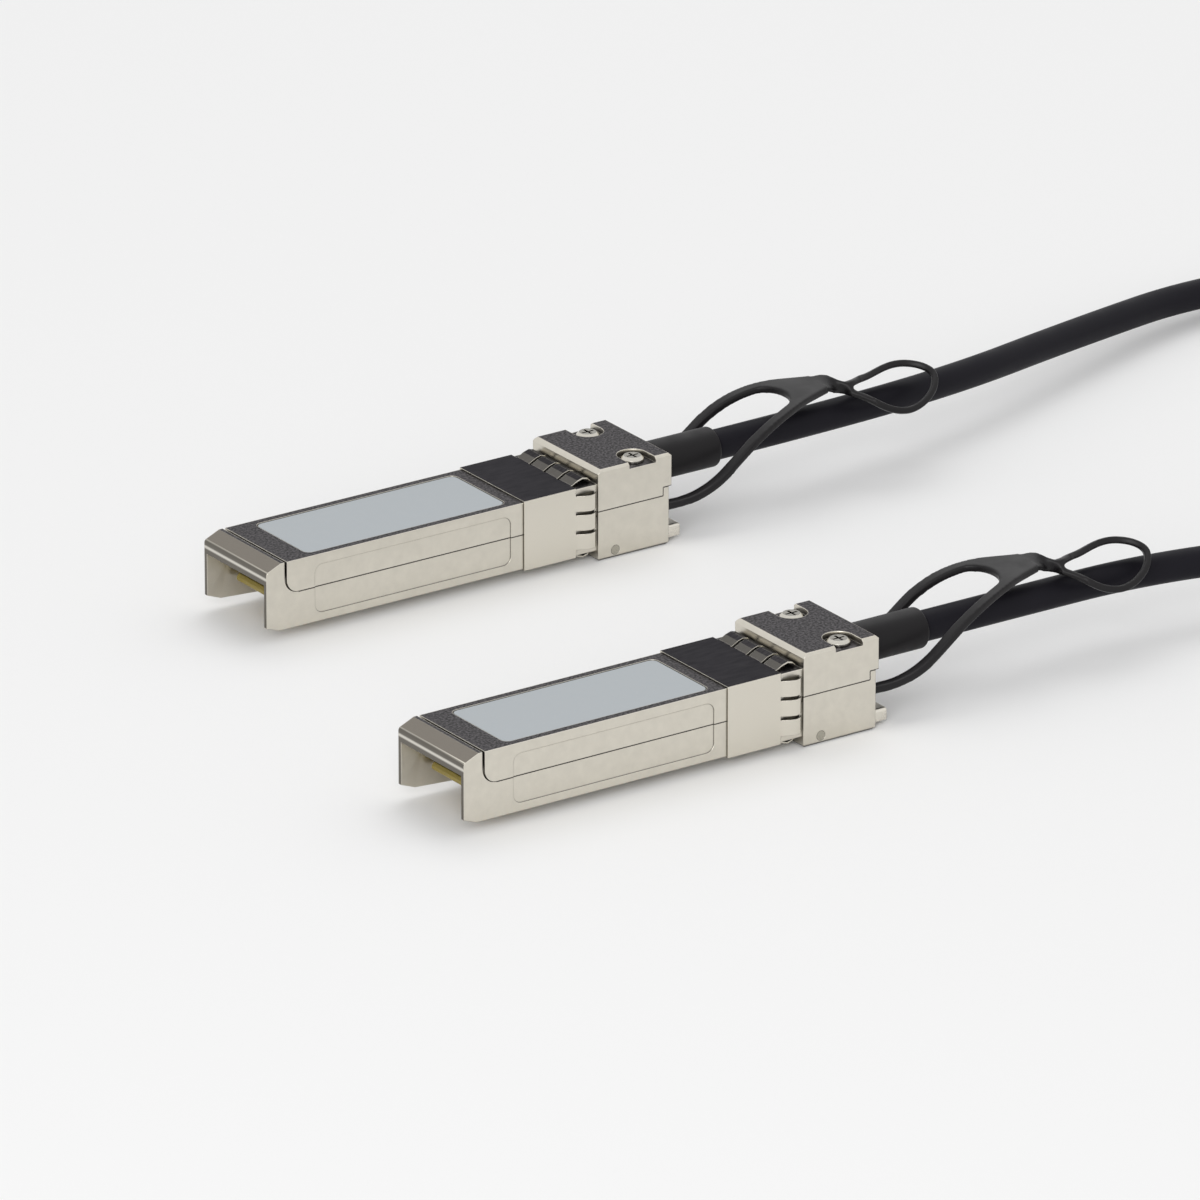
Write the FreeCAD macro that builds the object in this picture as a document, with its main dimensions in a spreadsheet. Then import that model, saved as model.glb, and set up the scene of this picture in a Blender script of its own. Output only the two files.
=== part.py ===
# A passive direct attach copper cable: two latching plugs joined by one twinax cable.
# Millimetres, +Z up. The origin is under the middle of the two plugs, on the surface they lie on.
# Each plug is built in its own frame: x runs from the mating end towards the cable, y is across,
# and z rises from the underside of the plug's body. Plug a lies behind plug b.

import FreeCAD, Part
import math
import os
import re
import Sketcher

Vector = FreeCAD.Vector
doc = FreeCAD.newDocument("attach_cable")

# Driving sizes: alias, value, what it is
SIZES = [
    ("plug_spacing", 62.0, "between the middle lines of the two plugs"),
    ("plug_start", -44.1, "mating end of plug a in the shared frame"),
    ("plug_stagger", 13.7, "how far plug b lies ahead of plug a"),
    ("plug_reach", 47.5, "mating end to the stop shoulder"),
    ("plug_width", 13.4, "body, across"),
    ("plug_height", 8.5, "body"),
    ("parting_height", 4.4, "where the upper shell meets the lower one"),
    ("side_wall", 1.2, "body wall"),
    ("floor_wall", 1.0, "body floor"),
    ("roof_wall", 0.9, "body roof"),
    ("nose_opening", 10.4, "length of the open underside at the mating end"),
    ("hood_length", 2.6, "hood over the mating end"),
    ("hood_front_height", 7.6, "top of the hood at its front"),
    ("hood_lip", 1.6, "thickness of the hood at its front"),
    ("hood_round", 0.5, "rounding of the hood's front edge"),
    ("hood_flat", 0.5, "level land behind the hood's slope"),
    ("cover_groove", 0.35, "groove between the hood and the upper shell"),
    ("cover_corner", 1.6, "rounding of the upper shell's lower front corner"),
    ("cheek_chamfer", 1.2, "lower front corner of each cheek"),
    ("panel_start", 6.9, "front of the sunk side panels"),
    ("panel_end", 35.0, "rear of the sunk side panels"),
    ("panel_low", 1.0, "underside of the side panels"),
    ("panel_high", 7.2, "top of the side panels"),
    ("panel_depth", 0.12, "how far the side panels are sunk"),
    ("panel_corner", 1.1, "rounded corners of the side panels"),
    ("label_start", 6.4, "front of the label's recess"),
    ("label_length", 28.7, "label's recess, along"),
    ("label_width", 11.4, "label's recess, across"),
    ("label_corner", 0.9, "label's recess, corner"),
    ("label_recess", 0.16, "label's recess, depth"),
    ("label_thickness", 0.1, "label"),
    ("label_margin", 0.12, "gap round the label in its recess"),
    ("block_length", 10.3, "rear block, along"),
    ("block_width", 13.9, "rear block, across"),
    ("block_rise", 1.8, "rear block above the body"),
    ("block_drop", 1.4, "rear block below the body"),
    ("block_parting", 5.0, "where the shells meet in the rear block"),
    ("cover_overhang", 0.4, "upper shell behind the lower one"),
    ("block_wall", 1.0, "rear block, side wall"),
    ("block_front_wall", 0.8, "rear block, front wall under the body"),
    ("block_skin", 0.4, "rear block, bottom"),
    ("rear_wall", 1.2, "rear block, rear wall"),
    ("block_front_bevel", 0.5, "bevel on the stop shoulder's top edge"),
    ("block_edge", 0.3, "bevel on the block's other edges"),
    ("core_half_width", 2.8, "half the width of the cavity round the boot's flange"),
    ("step_height", 1.1, "lip of the lower shell at the rear, above the parting"),
    ("step_thickness", 0.8, "lip of the lower shell at the rear, along"),
    ("card_recess", 3.2, "mating end to the card's edge"),
    ("card_setback", 4.9, "card's rear edge to the stop shoulder"),
    ("card_nose_width", 9.2, "paddle card at its contacts"),
    ("card_thickness", 1.0, "paddle card"),
    ("card_height", 2.25, "underside of the card above the underside of the body"),
    ("card_clearance", 0.1, "between the card's edge and the shell"),
    ("card_nose_length", 8.6, "narrow part of the card"),
    ("card_bevel", 0.3, "bevel on the card's leading edge"),
    ("ledge_width", 1.2, "ledge that the card lies on"),
    ("hold_gap", 0.05, "between the card and the ribs that hold it down"),
    ("rib_width", 0.8, "hold-down rib, across"),
    ("rib_length", 7.0, "hold-down rib, along"),
    ("pad_pitch", 0.8, "contact pads, pitch"),
    ("pad_width", 0.55, "contact pads, across"),
    ("pad_length", 4.2, "contact pads, along"),
    ("pad_thickness", 0.06, "contact pads"),
    ("pad_setback", 0.7, "card's edge to the pads"),
    ("chip_size", 3.0, "memory chip, side"),
    ("chip_height", 0.8, "memory chip"),
    ("chip_setback", 21.0, "card's edge to the memory chip"),
    ("gasket_length", 7.5, "contact sleeve, without its fingers"),
    ("gasket_setback", 10.7, "stop shoulder to the sleeve's front edge"),
    ("gasket_sheet", 0.2, "sheet of the contact sleeve"),
    ("finger_pitch", 3.0, "fingers on top and below"),
    ("side_finger_pitch", 2.45, "fingers on the sides"),
    ("finger_slot", 0.45, "slot between two fingers"),
    ("finger_rise", 0.7, "how far a finger bows out"),
    ("finger_length", 2.85, "finger, along"),
    ("finger_overlap", 0.3, "finger's root over the sleeve"),
    ("screw_setback", 6.5, "stop shoulder to the screws"),
    ("screw_inset", 2.2, "block's side to the screws"),
    ("screw_pocket_radius", 1.93, "open pocket of each screw"),
    ("screw_pocket_depth", 0.75, "open pocket of each screw"),
    ("screw_head_diameter", 2.8, "pan head"),
    ("screw_head_height", 0.7, "pan head"),
    ("screw_head_bevel", 0.35, "pan head's edge"),
    ("screw_slot", 0.33, "arms of the cross slot, across"),
    ("screw_slot_length", 1.65, "arms of the cross slot, along"),
    ("screw_slot_depth", 0.38, "cross slot"),
    ("screw_shank_diameter", 1.4, "shank"),
    ("screw_length", 7.2, "under the head"),
    ("screw_column_radius", 1.25, "column that each screw bites in"),
    ("cable_diameter", 3.8, "jacket"),
    ("cable_height", 6.6, "cable's middle above the underside of the body"),
    ("jacket_setback", 4.0, "stop shoulder to the end of the cable's jacket"),
    ("boot_diameter", 5.0, "boot outside the block"),
    ("boot_length", 11.1, "boot outside the block"),
    ("boot_edge", 0.4, "rounding of the boot's end"),
    ("boot_fit", 0.05, "round the boot in the block's hole"),
    ("flange_width", 5.5, "boot's flange inside the block"),
    ("flange_height", 5.4, "boot's flange inside the block"),
    ("flange_length", 1.5, "boot's flange inside the block"),
    ("bore_fit", 0.03, "round the cable in the boot and in the ferrule"),
    ("ferrule_wall", 0.4, "crimp ferrule"),
    ("ferrule_length", 2.6, "crimp ferrule"),
    ("lead_diameter", 1.4, "twinax lead"),
    ("lead_spread", 2.4, "middle line to each lead on the card"),
    ("lead_gather", 0.85, "middle line to each lead in the cable"),
    ("lead_exit", 2.2, "straight stretch of each lead at the jacket"),
    ("lead_settle", 2.4, "card's rear edge to where each lead comes level"),
    ("lead_lap", 2.0, "soldered stretch of each lead over the card"),
    ("mould_length", 5.0, "moulding over the soldered leads"),
    ("mould_overhang", 0.4, "moulding behind the card's rear edge"),
    ("mould_round", 0.6, "moulding's upright edges"),
    ("mould_width", 8.8, "moulding over the soldered leads"),
    ("mould_height", 2.8, "moulding over the soldered leads"),
    ("pin_setback", 2.5, "stop shoulder to the pivot pin"),
    ("pin_depth", 0.4, "pivot pin's middle below the underside of the body"),
    ("pin_diameter", 1.25, "pivot pin"),
    ("pin_play", 0.03, "round the pin in the lever"),
    ("lever_width", 3.0, "latch lever, across"),
    ("lever_hub", 0.9, "latch lever, radius round the pin"),
    ("lever_top", 0.85, "top of the latch lever above the underside of the body"),
    ("lever_low", 0.15, "underside of the lever's front arm"),
    ("lever_nose", 0.6, "lever in front of its boss"),
    ("lever_heel", 0.5, "lever's rear arm below the underside of the body"),
    ("lever_end_gap", 0.2, "lever's end to the pulled cross bar"),
    ("lever_bar_gap", 0.2, "lever's rear arm to the cross bar above it"),
    ("lever_ramp", 0.3, "rise of the lever's ramp"),
    ("lever_throat", 0.3, "level stretch in front of the cross bar"),
    ("lever_neck", 0.6, "slope in front of the level stretch"),
    ("boss_ramp", 0.8, "sloping front of the latch boss"),
    ("lever_gap", 0.4, "round the lever in its slot"),
    ("boss_setback", 2.5, "stop shoulder to the middle of the latch boss"),
    ("boss_length", 2.6, "latch boss, along"),
    ("boss_drop", 0.45, "latch boss below the underside of the body"),
    ("slide_travel", 2.0, "travel of the release slider"),
    ("slider_sheet", 0.8, "release slider, plate"),
    ("slider_gap", 0.1, "under and over the slider"),
    ("slider_width", 6.4, "slider between the screw columns"),
    ("tail_width", 12.4, "slider's tail, across"),
    ("tail_length", 2.2, "slider's tail, along"),
    ("tail_height", 1.5, "slider's tail"),
    ("tail_gap", 0.15, "block's rear face to the tail"),
    ("tail_edge", 0.4, "rounding of the tail"),
    ("bar_setback", 1.6, "pivot pin to the slider's cross bar"),
    ("bar_length", 0.8, "slider's cross bar, along"),
    ("bar_top", 2.3, "top of the slider's cross bar"),
    ("bar_over", 0.35, "underside of the cross bar above the underside of the body"),
    ("post_diameter", 1.3, "slider's posts for the strap"),
    ("post_top", 3.7, "top of the posts"),
    ("spring_sheet", 0.15, "return spring"),
    ("spring_width", 2.2, "return spring, across"),
    ("spring_low", 0.75, "feet of the return spring"),
    ("spring_high", 2.4, "crown of the return spring"),
    ("spring_crown", 1.2, "level top of the return spring"),
    ("strap_thickness", 0.95, "pull strap"),
    ("strap_band", 1.5, "width of the strap's arms"),
    ("strap_eye_radius", 1.15, "outside radius of the strap's eyes"),
    ("strap_arm_inset", 1.85, "block's side to the middle of each arm"),
    ("strap_eye_fit", 0.05, "round the post in the strap's eye"),
    ("strap_level", 2.9, "middle of the strap where it leaves the block"),
    ("strap_crest", 11.1, "middle of the strap where its climb ends"),
    ("strap_climb_start", 6.6, "block's rear face to where the strap leaves the level"),
    ("strap_climb_end", 17.6, "block's rear face to where the climb ends"),
    ("strap_side_end", 33.0, "block's rear face to the end of the strap's side view"),
    ("strap_end_height", 11.25, "middle of the strap at the end of its side view"),
    ("strap_bow", 0.3, "how far each arm bows out on its way up"),
    ("strap_web_start", 17.7, "block's rear face to the web"),
    ("strap_web_half", 4.5, "half the width of the web at its root"),
    ("strap_web_hole", 4.1, "round end of the gap between the arms, radius"),
    ("strap_web_end", 27.0, "block's rear face to the end of the web"),
    ("strap_web_tip", 2.2, "half the width of the web at its end"),
    ("loop_band", 2.1, "width of the finger loop's band"),
    ("loop_thickness", 0.85, "finger loop"),
    ("loop_turn", 34.5, "degrees from straight across that the loop's narrow side looks"),
    ("loop_lift", 21.8, "degrees above level that the loop's narrow side looks"),
]

sheet = doc.addObject("Spreadsheet::Sheet", "sizes")
for row, (alias, value, meaning) in enumerate(SIZES, start=1):
    sheet.set(f"A{row}", str(value))
    sheet.set(f"B{row}", meaning)
    sheet.setAlias(f"A{row}", alias)
doc.recompute()

ALIASES = {alias for alias, value, meaning in SIZES}
EXTRA = {
    "block_end": "(plug_reach + block_length)",
    "cover_start": "(hood_length + cover_groove)",
    "cavity_half": "(plug_width / 2 - side_wall)",
    "block_half": "(block_width / 2)",
    "card_end": "(plug_reach - card_setback)",
    "card_width": "(plug_width - 2 * side_wall - 2 * card_clearance)",
    "card_top": "(card_height + card_thickness)",
    "pin_x": "(plug_reach + pin_setback)",
    "screw_x": "(plug_reach + screw_setback)",
    "screw_y": "(block_width / 2 - screw_inset)",
    "arm_y": "(block_width / 2 - strap_arm_inset)",
    "slot_half": "(lever_width / 2 + lever_gap)",
    "skin_top": "(block_skin - block_drop)",
    "slider_low": "(block_skin - block_drop + slider_gap)",
    "post_x": "(plug_reach + block_length - rear_wall)",
    "bar_x": "(plug_reach + pin_setback + bar_setback)",
    "notch_x": "(plug_reach + screw_setback + screw_column_radius)",
    "gasket_start": "(plug_reach - gasket_setback)",
    "finger_root": "(plug_reach - gasket_setback + gasket_length)",
    "boss_front": "(plug_reach - boss_setback - boss_length / 2)",
    "boss_rear": "(plug_reach - boss_setback + boss_length / 2)",
    "lever_slot_start": "(plug_reach - boss_setback - boss_length)",
}


def size(alias):
    """The value that the sheet holds for one size."""
    return float(sheet.get(alias))


def spelled(text):
    """An expression with its worked-out words spelled out and its sizes found in the sheet."""
    for _ in range(2):
        text = re.sub(r"[a-z][a-z0-9_]*", lambda word: EXTRA.get(word.group(), word.group()), text)
    return re.sub(
        r"[a-z][a-z0-9_]*",
        lambda word: "sizes." + word.group() if word.group() in ALIASES else word.group(),
        text,
    )


def bind(item, prop, text):
    """Ties one property of a document object to the sheet."""
    item.setExpression(prop, spelled(text))


def place(item, x, y, z):
    """Ties a feature's position in its plug's frame to the sheet."""
    for axis, text in zip("xyz", (x, y, z)):
        bind(item, f"Placement.Base.{axis}", text)


def plane_of(body, role):
    return [part for part in body.Origin.OriginFeatures if part.Role == role][0]


def outline(body, plane, corners):
    """A closed sketch of straight edges, each corner held by two distances bound to the sheet."""
    sketch = body.newObject("Sketcher::SketchObject", "Outline")
    sketch.AttachmentSupport = [(plane_of(body, plane), "")]
    sketch.MapMode = "FlatFace"
    count = len(corners)
    turn = 2 * math.pi / count
    ring = [Vector(math.cos(i * turn), math.sin(i * turn), 0) for i in range(count)]
    for i in range(count):
        sketch.addGeometry(Part.LineSegment(ring[i], ring[(i + 1) % count]), False)
    for i in range(count):
        sketch.addConstraint(Sketcher.Constraint("Coincident", i, 2, (i + 1) % count, 1))
    for i, (across, up) in enumerate(corners):
        for kind, text, now in (("DistanceX", across, ring[i].x), ("DistanceY", up, ring[i].y)):
            held = sketch.addConstraint(Sketcher.Constraint(kind, -1, 1, i, 1, now))
            bind(sketch, f"Constraints[{held}]", text)
    return sketch


def pad(body, plane, corners, width):
    """Adds an outline's prism, half its width on each side of the plane."""
    feature = body.newObject("PartDesign::Pad", "Pad")
    feature.Profile = outline(body, plane, corners)
    feature.Midplane = True
    bind(feature, "Length", width)
    return feature


def slab(body, kind, start, span):
    """Adds or cuts a box, from its lowest corner and its three sizes."""
    feature = body.newObject(f"PartDesign::{kind}Box", "Slab")
    for prop, text in zip(("Length", "Width", "Height"), span):
        bind(feature, prop, text)
    place(feature, *start)
    return feature


def middle_slab(body, kind, x, z, length, width, height):
    """Adds or cuts a box that straddles the plug's middle plane."""
    return slab(body, kind, (x, f"-({width}) / 2", z), (length, width, height))


ALONG = {
    "x": FreeCAD.Rotation(Vector(0, 1, 0), 90),
    "y": FreeCAD.Rotation(Vector(1, 0, 0), -90),
    "z": FreeCAD.Rotation(),
}


def rod(body, kind, axis, start, radius, height):
    """Adds or cuts a cylinder that runs along an axis from its start."""
    feature = body.newObject(f"PartDesign::{kind}Cylinder", "Rod")
    feature.Placement.Rotation = ALONG[axis]
    bind(feature, "Radius", radius)
    bind(feature, "Height", height)
    place(feature, *start)
    return feature


def round_edges(body, kind, amount, wanted):
    """Fillets or bevels the edges of the body's tip that the test picks."""
    doc.recompute()
    tip = body.Tip
    names = [f"Edge{i}" for i, edge in enumerate(tip.Shape.Edges, start=1) if wanted(edge)]
    feature = body.newObject(f"PartDesign::{kind}", kind)
    feature.Base = (tip, names)
    bind(feature, "Radius" if kind == "Fillet" else "Size", amount)
    return feature


def runs_along(edge, axis):
    """Whether an edge is straight and runs along x, y or z."""
    if edge.Curve.TypeId != "Part::GeomLine":
        return False
    step = edge.Vertexes[-1].Point - edge.Vertexes[0].Point
    return abs(abs(getattr(step, axis)) - step.Length) < 1e-6


def near(value, target):
    return abs(value - target) < 1e-4


pieces = []


class Plug:
    """One end of the cable: where it lies, and the letter that its pieces end in."""

    def __init__(self, letter, x, y):
        self.letter = letter
        self.place = (x, y, "block_drop")

    def keep(self, item, name):
        """Names a finished piece and sets it in the plug's place."""
        item.Label = f"{name}_{self.letter}"
        place(item, *self.place)
        pieces.append(item)
        return item

    def body(self, name):
        return self.keep(doc.addObject("PartDesign::Body", f"{name}_{self.letter}"), name)

    def shape(self, name, solid):
        """A piece whose form is swept in code."""
        item = doc.addObject("Part::Feature", f"{name}_{self.letter}")
        item.Shape = solid
        return self.keep(item, name)


def rounded_route(points, share=0.45):
    """Straight runs joined by tangent arcs, each as large as its two runs allow, and the radii."""
    edges = []
    radii = []
    start = points[0]
    for before, corner, after in zip(points, points[1:], points[2:]):
        come = corner - before
        leave = after - corner
        shorter = min(come.Length, leave.Length)
        turn = come.getAngle(leave)
        cut = share * shorter
        radii.append(cut / math.tan(turn / 2))
        into = corner - come.normalize() * cut
        out = corner + leave.normalize() * cut
        bisector = (into - corner).normalize() + (out - corner).normalize()
        sagitta = radii[-1] / math.cos(turn / 2) - radii[-1]
        middle = corner + bisector.normalize() * sagitta
        edges += [Part.LineSegment(start, into).toShape(), Part.Arc(into, middle, out).toShape()]
        start = out
    edges.append(Part.LineSegment(start, points[-1]).toShape())
    return Part.Wire(edges), radii


def swept_disc(route, radius):
    """A round rod along a route."""
    first = route.Edges[0]
    start = first.Vertexes[0].Point
    heading = first.Vertexes[1].Point - start
    disc = Part.Wire(Part.makeCircle(radius, start, heading))
    return route.makePipeShell([disc], True, False)


def swept_bar(route, corners):
    """A bar of rectangular section along a route that lies in one plane."""
    section = Part.makePolygon(corners + corners[:1])
    return route.makePipeShell([section], True, False)


def lower_shell(plug):
    """Die-cast base: open nose with its hood, channel for the card, and the lower rear block."""
    body = plug.body("lower_shell")
    pad(body, "XZ_Plane", [
        ("0", "0"),
        ("block_end - block_edge", "0"),
        ("block_end - block_edge", "parting_height"),
        ("hood_length", "parting_height"),
        ("hood_length", "plug_height"),
        ("hood_length - hood_flat", "plug_height"),
        ("0", "hood_front_height"),
    ], "plug_width")
    middle_slab(body, "Additive", "plug_reach", "-block_drop",
                "block_length", "block_width", "block_drop + block_parting")
    middle_slab(body, "Additive", "block_end - step_thickness", "block_parting",
                "step_thickness", "block_width", "step_height")

    # Rounded hood, bevelled cheeks and block
    round_edges(body, "Fillet", "hood_round", lambda edge: runs_along(edge, "y")
                and near(edge.CenterOfMass.z, size("hood_front_height"))
                and near(edge.CenterOfMass.x, 0))
    round_edges(body, "Chamfer", "cheek_chamfer", lambda edge: runs_along(edge, "y")
                and near(edge.CenterOfMass.x, 0) and near(edge.CenterOfMass.z, 0))
    low = -size("block_drop")
    round_edges(body, "Chamfer", "block_edge", lambda edge: near(edge.CenterOfMass.z, low))

    # The nose is open in front and below; behind it the card lies on two ledges
    middle_slab(body, "Subtractive", "-1", "-1", "nose_opening + 1",
                "card_nose_width + 2 * card_clearance", "1 + hood_front_height - hood_lip")
    middle_slab(body, "Subtractive", "nose_opening - 0.01", "floor_wall",
                "plug_reach - nose_opening + block_front_wall",
                "2 * (cavity_half - ledge_width)", "parting_height")
    middle_slab(body, "Subtractive", "nose_opening - 0.01", "card_height",
                "plug_reach - nose_opening + block_front_wall", "2 * cavity_half", "parting_height")

    # Rear block: cavity for the latch works, with a column for each screw
    middle_slab(body, "Subtractive", "plug_reach + block_front_wall", "skin_top",
                "block_length - block_front_wall - rear_wall", "block_width - 2 * block_wall",
                "block_parting - skin_top")
    for side in ("-1", "1"):
        rod(body, "Additive", "z", ("screw_x", f"{side} * screw_y", "skin_top"),
            "screw_column_radius", "block_parting - skin_top")
        rod(body, "Subtractive", "z",
            ("screw_x", f"{side} * screw_y", "plug_height + block_rise - screw_pocket_depth"
             " - screw_length"), "screw_shank_diameter / 2", "screw_length")

    # Slot and window that the latch lever works in
    middle_slab(body, "Subtractive", "lever_slot_start", "-1",
                "plug_reach + block_front_wall - lever_slot_start + 0.1", "2 * slot_half",
                "2 + floor_wall")
    middle_slab(body, "Subtractive", "plug_reach + block_front_wall", "-block_drop - 1",
                "notch_x - plug_reach - block_front_wall - slider_gap", "2 * slot_half",
                "block_skin + 1.01")
    rod(body, "Subtractive", "y", ("pin_x", "-block_half - 1", "-pin_depth"),
        "pin_diameter / 2", "block_width + 2")

    # Way out at the rear for the slider, the strap's two arms and the boot
    middle_slab(body, "Subtractive", "block_end - rear_wall - 0.01", "skin_top",
                "rear_wall + 1", "tail_width + 4 * slider_gap", "slider_sheet + 2 * slider_gap")
    for side in ("-1", "1"):
        slab(body, "Subtractive",
             ("notch_x", f"{side} * arm_y - strap_eye_radius - 2 * slider_gap", "skin_top"),
             ("block_end - notch_x + 1", "2 * strap_eye_radius + 4 * slider_gap",
              "block_parting - skin_top"))
    rod(body, "Subtractive", "x", ("block_end - rear_wall - 0.01", "0", "cable_height"),
        "boot_diameter / 2 + boot_fit", "rear_wall + 1")

    side_panels(body)


def side_panels(body):
    """Shallow sunk panel on each side of the body."""
    for y in ("-plug_width / 2 - 1", "plug_width / 2 - panel_depth"):
        slab(body, "Subtractive", ("panel_start", y, "panel_low"),
             ("panel_end - panel_start", "1 + panel_depth", "panel_high - panel_low"))
    ends = (size("panel_low"), size("panel_high"))
    round_edges(body, "Fillet", "panel_corner", lambda edge: runs_along(edge, "y")
                and near(edge.Length, size("panel_depth"))
                and any(near(edge.CenterOfMass.z, z) for z in ends))


def upper_shell(plug):
    """Die-cast cover: roof and skirts over the card, and the upper rear block with its screws."""
    body = plug.body("upper_shell")
    pad(body, "XZ_Plane", [
        ("cover_start", "parting_height"),
        ("block_end - block_edge", "parting_height"),
        ("block_end - block_edge", "plug_height"),
        ("cover_start", "plug_height"),
    ], "plug_width")
    round_edges(body, "Fillet", "cover_corner", lambda edge: runs_along(edge, "y")
                and near(edge.CenterOfMass.x, size("hood_length") + size("cover_groove"))
                and near(edge.CenterOfMass.z, size("parting_height")))
    middle_slab(body, "Subtractive", "plug_reach", "parting_height", "block_length",
                "block_width", "block_parting - parting_height")
    middle_slab(body, "Additive", "plug_reach", "block_parting", "block_length + cover_overhang",
                "block_width", "plug_height - block_parting + block_rise")

    front = size("plug_reach")
    top = size("plug_height") + size("block_rise")
    half = size("block_width") / 2
    round_edges(body, "Chamfer", "block_front_bevel", lambda edge: runs_along(edge, "y")
                and near(edge.CenterOfMass.x, front) and near(edge.CenterOfMass.z, top))
    round_edges(body, "Chamfer", "block_edge", lambda edge:
                (runs_along(edge, "x") and near(edge.CenterOfMass.z, top)
                 and near(abs(edge.CenterOfMass.y), half))
                or (runs_along(edge, "y") and near(edge.CenterOfMass.z, top)
                    and edge.CenterOfMass.x > front + 1))

    # Roof over the card, narrower over the boot's flange
    middle_slab(body, "Subtractive", "cover_start - 1", "parting_height - 1",
                "plug_reach - cover_start + 1", "2 * cavity_half",
                "plug_height - roof_wall - parting_height + 1")
    middle_slab(body, "Subtractive", "plug_reach - 0.01", "parting_height - 1",
                "block_length - rear_wall + 0.01", "2 * core_half_width",
                "cable_height + flange_height / 2 + boot_fit - parting_height + 1")

    # Ribs that hold the card down on its ledges
    for side in ("-1", "1"):
        for start in ("nose_opening + 3", "panel_end - rib_length"):
            slab(body, "Additive",
                 (start, f"{side} * (cavity_half - card_clearance - rib_width / 2)"
                  " - rib_width / 2", "card_top + hold_gap"),
                 ("rib_length", "rib_width", "plug_height - roof_wall - card_top"))

    # Open screw pockets and the holes below them
    for side in ("-1", "1"):
        rod(body, "Subtractive", "z",
            ("screw_x", f"{side} * screw_y", "plug_height + block_rise - screw_pocket_depth"),
            "screw_pocket_radius", "screw_pocket_depth + 1")
        slab(body, "Subtractive",
             ("screw_x - screw_pocket_radius",
              f"{side} * (screw_y + screw_inset) - screw_inset",
              "plug_height + block_rise - screw_pocket_depth"),
             ("2 * screw_pocket_radius", "2 * screw_inset", "screw_pocket_depth + 1"))
        rod(body, "Subtractive", "z", ("screw_x", f"{side} * screw_y", "parting_height - 1"),
            "screw_shank_diameter / 2", "plug_height + block_rise")

    # Seat of the lower shell's rear lip, hole for the boot
    middle_slab(body, "Subtractive", "block_end - step_thickness", "block_parting - 1",
                "step_thickness + 1", "block_width + 2", "step_height + 1")
    rod(body, "Subtractive", "x", ("block_end - rear_wall - 0.02", "0", "cable_height"),
        "boot_diameter / 2 + boot_fit", "rear_wall + 1")

    # Round-cornered recess of the label
    middle_slab(body, "Subtractive", "label_start", "plug_height - label_recess",
                "label_length", "label_width", "1")
    roof = size("plug_height")
    recess_x = (size("label_start"), size("label_start") + size("label_length"))
    round_edges(body, "Fillet", "label_corner", lambda edge: runs_along(edge, "z")
                and near(edge.Length, size("label_recess"))
                and near(edge.CenterOfMass.z, roof - size("label_recess") / 2)
                and any(near(edge.CenterOfMass.x, x) for x in recess_x))
    side_panels(body)


def label(plug):
    """Bare label in the roof's recess."""
    body = plug.body("label")
    middle_slab(body, "Additive", "label_start + label_margin", "plug_height - label_recess",
                "label_length - 2 * label_margin", "label_width - 2 * label_margin",
                "label_thickness")
    round_edges(body, "Fillet", "label_corner", lambda edge: runs_along(edge, "z"))


# How high a contact finger stands along its length, both as shares: its bow, crest and tip
FINGER_SHAPE = [(0.05, 0), (0.35, 0.68), (0.62, 1), (0.85, 0.75), (1, 0.15)]


def emi_gasket(plug):
    """Sheet sleeve round the body, with a row of bowed contact fingers on every side."""
    body = plug.body("emi_gasket")
    middle_slab(body, "Additive", "gasket_start", "-gasket_sheet", "gasket_length",
                "plug_width + 2 * gasket_sheet", "plug_height + 2 * gasket_sheet")
    across = "4 * finger_pitch - finger_slot"
    down = "3 * side_finger_pitch - finger_slot"
    for plane, face, out, reach in (
        ("XZ_Plane", "plug_height", "+", across), ("XZ_Plane", "0", "-", across),
        ("XY_Plane", "-plug_width / 2", "-", down), ("XY_Plane", "plug_width / 2", "+", down),
    ):
        inner = [(f"finger_root + {along} * finger_length", f"{face} {out} {up} * finger_rise")
                 for along, up in FINGER_SHAPE]
        outer = [(x, f"{z} {out} gasket_sheet") for x, z in reversed(inner)]
        strip = [("finger_root - finger_overlap", face), *inner, *outer,
                 ("finger_root - finger_overlap", f"{face} {out} gasket_sheet")]
        feature = pad(body, plane, strip, reach)
        if plane == "XY_Plane":
            sketch = feature.Profile[0]
            sketch.AttachmentOffset = FreeCAD.Placement(Vector(), FreeCAD.Rotation())
            bind(sketch, "AttachmentOffset.Base.z", "plug_height / 2")
    # Slots between the fingers, above, below and on the sides
    for k in ("-1", "0", "1"):
        slab(body, "Subtractive",
             ("finger_root", f"{k} * finger_pitch - finger_slot / 2", "-2 * finger_rise - 1"),
             ("finger_length + 1", "finger_slot", "plug_height + 4 * finger_rise + 2"))
    for k in ("-0.5", "0.5"):
        middle_slab(body, "Subtractive", "finger_root",
                    f"plug_height / 2 + {k} * side_finger_pitch - finger_slot / 2",
                    "finger_length + 1", "plug_width + 4 * finger_rise + 4", "finger_slot")
    # The body itself, and the way of the latch boss below
    middle_slab(body, "Subtractive", "gasket_start - 1", "0",
                "gasket_length + finger_length + 2", "plug_width", "plug_height")
    middle_slab(body, "Subtractive", "lever_slot_start", "-2 * finger_rise - 1",
                "plug_reach - lever_slot_start", "2 * (finger_pitch + finger_slot / 2)",
                "2 * finger_rise + 2")


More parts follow.
